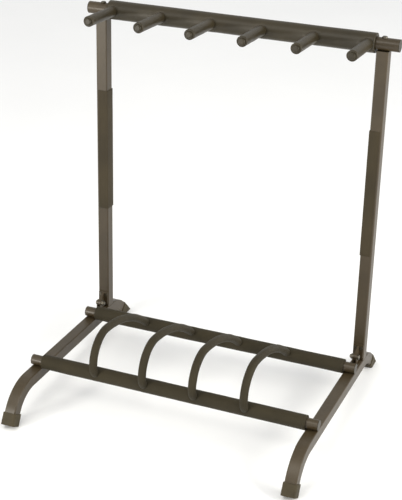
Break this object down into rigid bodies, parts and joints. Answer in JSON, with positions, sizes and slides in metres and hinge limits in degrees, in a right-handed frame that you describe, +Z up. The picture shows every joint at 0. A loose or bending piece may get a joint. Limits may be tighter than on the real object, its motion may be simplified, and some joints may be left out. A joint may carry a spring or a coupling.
{
  "type": "folding guitar rack",
  "caption": "Folding rack: arched legs, foam-covered bars with arched dividers, and hinged uprights with a top bar of foam-covered pegs.",
  "frame": {"origin": "on the floor, midway between the left and right legs and midway between the front toes and the rear feet's back edges", "axes": "+Z up from the floor, +Y to the rear (an instrument faces -Y), +X to the right as seen from the front"},
  "size_m": [0.677, 0.5668, 0.7798],
  "materials": {
    "powder_coat": "satin black powder coat",
    "foam_sleeve": "matt closed-cell foam",
    "side_pad": "matt dense foam rubber",
    "foot_rubber": "matt rubber",
    "plug_plastic": "matt moulded plastic",
    "fastener_steel": "dark zinc-plated steel, rubbed bright at its edges"
  },
  "bodies": {
    "base": {"bar_bolts": "fastener_steel", "bar_nuts": "fastener_steel", "divider_foam_1": "foam_sleeve", "divider_foam_2": "foam_sleeve", "divider_foam_3": "foam_sleeve", "divider_foam_4": "foam_sleeve", "divider_rod_1": "powder_coat", "divider_rod_2": "powder_coat", "divider_rod_3": "powder_coat", "divider_rod_4": "powder_coat", "front_bar_end_plugs": "plug_plastic", "front_bar_foam": "foam_sleeve", "front_bar_tube": "powder_coat", "hinge_bracket_screws": "fastener_steel", "hinge_washers": "fastener_steel", "left_front_foot": "foot_rubber", "left_hinge_bolt": "fastener_steel", "left_hinge_bracket": "powder_coat", "left_hinge_nut": "fastener_steel", "left_leg": "powder_coat", "left_rear_foot": "foot_rubber", "rear_bar_end_plugs": "plug_plastic", "rear_bar_foam": "foam_sleeve", "rear_bar_tube": "powder_coat", "right_front_foot": "foot_rubber", "right_hinge_bolt": "fastener_steel", "right_hinge_bracket": "powder_coat", "right_hinge_nut": "fastener_steel", "right_leg": "powder_coat", "right_rear_foot": "foot_rubber"},
    "upright_frame": {"hinge_lug_screws": "fastener_steel", "left_hinge_lug": "powder_coat", "left_side_pad": "side_pad", "left_upright": "powder_coat", "peg_cap_1": "plug_plastic", "peg_cap_2": "plug_plastic", "peg_cap_3": "plug_plastic", "peg_cap_4": "plug_plastic", "peg_cap_5": "plug_plastic", "peg_cap_6": "plug_plastic", "peg_foam_1": "foam_sleeve", "peg_foam_2": "foam_sleeve", "peg_foam_3": "foam_sleeve", "peg_foam_4": "foam_sleeve", "peg_foam_5": "foam_sleeve", "peg_foam_6": "foam_sleeve", "peg_rod_1": "powder_coat", "peg_rod_2": "powder_coat", "peg_rod_3": "powder_coat", "peg_rod_4": "powder_coat", "peg_rod_5": "powder_coat", "peg_rod_6": "powder_coat", "right_hinge_lug": "powder_coat", "right_side_pad": "side_pad", "right_upright": "powder_coat", "top_bar_bolts": "fastener_steel", "top_bar_end_plugs": "plug_plastic", "top_bar_foam": "foam_sleeve", "top_bar_tube": "powder_coat", "upright_top_inserts": "plug_plastic"}
  },
  "joints": [
    {"name": "upright_fold", "type": "hinge", "parent": "base", "child": "upright_frame", "pos_m": [0, 0.15086, 0.08081], "axis": [1, 0, 0], "range_deg": [0, 90]}
  ]
}
